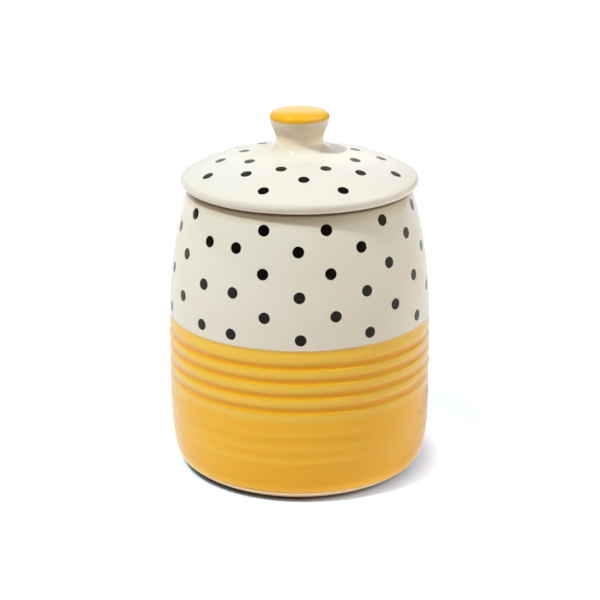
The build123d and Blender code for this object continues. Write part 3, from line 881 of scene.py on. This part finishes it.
# The floor is white to the camera. To the jar it is a pale table, lit unevenly:
# (direction, near strength, far strength), with colours.
g = Graph("floor")
far = g.node("ShaderNodeVectorMath", operation="LENGTH")
g.put(far.inputs[0], g.coords())
away = g.step(far.outputs["Value"], 0.20, 0.45)
heading = g.node("ShaderNodeVectorMath", operation="NORMALIZE")
g.put(heading.inputs[0], g.coords())
total = None
for way, near_c, far_c in (
    ((0.0, 1.0, 0.0), (0.0, 0.0, 0.0), (0.400, 0.420, 0.400)),
    ((1.0, 0.0, 0.0), (0.506, 0.505, 0.523), (0.577, 0.558, 0.427)),
    ((0.0, -1.0, 0.0), (0.474, 0.358, 0.293), (0.158, 0.056, 0.038)),
    ((-1.0, 0.0, 0.0), (0.490, 0.550, 0.580), (0.560, 0.400, 0.197)),
):
    along = g.node("ShaderNodeVectorMath", operation="DOT_PRODUCT")
    g.put(along.inputs[0], heading.outputs[0])
    along.inputs[1].default_value = way
    share = g.math("MAXIMUM", along.outputs["Value"], 0.0)
    share = g.math("MULTIPLY", share, share)
    tint = g.mix(away, near_c, far_c)
    scaled = g.node("ShaderNodeVectorMath", operation="SCALE")
    g.put(scaled.inputs[0], tint)
    g.put(scaled.inputs["Scale"], share)
    if total is None:
        total = scaled.outputs[0]
    else:
        add = g.node("ShaderNodeVectorMath", operation="ADD")
        g.put(add.inputs[0], total)
        g.put(add.inputs[1], scaled.outputs[0])
        total = add.outputs[0]
table = g.node("ShaderNodeBsdfDiffuse")
table.inputs["Color"].default_value = (0.45, 0.45, 0.45, 1.0)
glow = g.node("ShaderNodeEmission")
g.put(glow.inputs["Color"], total)
glow.inputs["Strength"].default_value = LIGHT
under = g.node("ShaderNodeAddShader")
g.tree.links.new(table.outputs[0], under.inputs[0])
g.tree.links.new(glow.outputs[0], under.inputs[1])

paper = g.node("ShaderNodeBsdfDiffuse")
sheet = g.mix(g.step(g.noise(9.0, 2.0, 0.5), 0.3, 0.7), PAPER_A, PAPER_B)
# the contact shadow under the foot's overhang, narrower on the right
rightward = g.node("ShaderNodeSeparateXYZ")
g.put(rightward.inputs[0], heading.outputs[0])
reach = g.math("ADD", far.outputs["Value"], g.math("MULTIPLY", g.math("MAXIMUM", rightward.outputs["X"], 0.0), 0.0050))
g.put(paper.inputs["Color"], g.mix(g.step(reach, 0.0672, 0.0740), (0.085, 0.080, 0.075), sheet))
# painted light: the floor glows white from 68.5 mm out, so the jar's shadows fade to white
lift = g.node("ShaderNodeEmission")
lift.inputs["Color"].default_value = (0.95, 1.0, 1.02, 1.0)
g.put(lift.inputs["Strength"], g.math("MULTIPLY", g.step(far.outputs["Value"], LIFT_FROM, LIFT_TO), LIFT))
shown = g.node("ShaderNodeAddShader")
g.tree.links.new(paper.outputs[0], shown.inputs[0])
g.tree.links.new(lift.outputs[0], shown.inputs[1])

eye = g.node("ShaderNodeLightPath")
both = g.node("ShaderNodeMixShader")
g.tree.links.new(eye.outputs["Is Camera Ray"], both.inputs[0])
g.tree.links.new(under.outputs[0], both.inputs[1])
g.tree.links.new(shown.outputs[0], both.inputs[2])
g.tree.links.new(both.outputs[0], g.out.inputs[0])
floor.data.materials.append(g.mat)


def towards(azimuth, elevation):
    """Unit vector; azimuth 0 is behind the jar, 90 to its right, 180 in front."""
    a, e = math.radians(azimuth), math.radians(elevation)
    return Vector((math.sin(a) * math.cos(e), math.cos(a) * math.cos(e), math.sin(e)))


def sun(name, azimuth, elevation, spread, rgb, gloss=True):
    data = bpy.data.lights.new(name, "SUN")
    top = max(rgb)
    data.energy = top * LIGHT
    data.color = tuple(c / top for c in rgb)
    data.angle = math.radians(spread)
    obj = bpy.data.objects.new(name, data)
    bpy.context.scene.collection.objects.link(obj)
    to_light = towards(azimuth, elevation)
    obj.location = to_light * 2.5
    obj.rotation_mode = "QUATERNION"
    obj.rotation_quaternion = (-to_light).to_track_quat("-Z", "Y")
    obj.visible_glossy = gloss
    return obj


sun("key", 240, 62, 4.5, (2.127, 2.361, 2.579), gloss=False)
sun("key_soft", 240, 62, 20, (0.615, 0.664, 0.726), gloss=False)
sun("fill_right", 90, 50, 50, (0.628, 0.600, 0.874))
sun("fill_front_right", 130, 45, 50, (0.402, 0.441, 0.336))
sun("fill_front", 200, 50, 50, (0.187, 0.137, 0.030))

# a small lamp over the knob: the glint on its rim, and no other light
spot_data = bpy.data.lights.new("glint", "SPOT")
spot_data.energy = 2.0
spot_data.color = (1.0, 0.97, 0.90)
spot_data.shadow_soft_size = 0.020
spot_data.spot_size = math.radians(7.6)
spot_data.spot_blend = 0.3
spot = bpy.data.objects.new("glint", spot_data)
bpy.context.scene.collection.objects.link(spot)
spot.location = Vector((-0.0056, -0.0158, 0.2118)) + Vector((-0.3260, 0.0056, 0.9454)) * 0.4
spot.rotation_mode = "QUATERNION"
spot.rotation_quaternion = Vector((0.3260, -0.0056, -0.9454)).to_track_quat("-Z", "Y")
spot.visible_diffuse = False

world = bpy.data.worlds.new("studio")
bpy.context.scene.world = world
world.use_nodes = True
wt = world.node_tree
wt.nodes.clear()


def wnode(kind, **props):
    n = wt.nodes.new(kind)
    for k, v in props.items():
        setattr(n, k, v)
    return n


w_out = wnode("ShaderNodeOutputWorld")
w_dir = wnode("ShaderNodeTexCoord").outputs["Generated"]
w_sum = None
for azimuth, elevation, tight, rgb in (
    (0, 16, 9.0, (1.060, 1.060, 1.020)),
    (90, 16, 9.0, (0.924, 0.756, 0.504)),
    (315, 16, 9.0, (0.150, 0.130, 0.130)),
):
    # a soft white panel: strongest in one direction, fading smoothly round it
    facing = wnode("ShaderNodeVectorMath", operation="DOT_PRODUCT")
    wt.links.new(w_dir, facing.inputs[0])
    facing.inputs[1].default_value = towards(azimuth, elevation)
    fall = wnode("ShaderNodeMath", operation="MULTIPLY_ADD")
    wt.links.new(facing.outputs["Value"], fall.inputs[0])
    fall.inputs[1].default_value = tight
    fall.inputs[2].default_value = -tight
    lobe = wnode("ShaderNodeMath", operation="EXPONENT")
    wt.links.new(fall.outputs[0], lobe.inputs[0])
    tinted = wnode("ShaderNodeVectorMath", operation="SCALE")
    tinted.inputs[0].default_value = rgb
    wt.links.new(lobe.outputs[0], tinted.inputs["Scale"])
    if w_sum is None:
        w_sum = tinted.outputs[0]
    else:
        w_add = wnode("ShaderNodeVectorMath", operation="ADD")
        wt.links.new(w_sum, w_add.inputs[0])
        wt.links.new(tinted.outputs[0], w_add.inputs[1])
        w_sum = w_add.outputs[0]
w_soft = wnode("ShaderNodeBackground")
wt.links.new(w_sum, w_soft.inputs["Color"])
w_soft.inputs["Strength"].default_value = LIGHT
w_white = wnode("ShaderNodeBackground")
w_white.inputs["Color"].default_value = (1.0, 1.0, 1.0, 1.0)
w_white.inputs["Strength"].default_value = 1.0
w_path = wnode("ShaderNodeLightPath")
w_mix = wnode("ShaderNodeMixShader")
wt.links.new(w_path.outputs["Is Camera Ray"], w_mix.inputs[0])
wt.links.new(w_soft.outputs[0], w_mix.inputs[1])
wt.links.new(w_white.outputs[0], w_mix.inputs[2])
wt.links.new(w_mix.outputs[0], w_out.inputs[0])
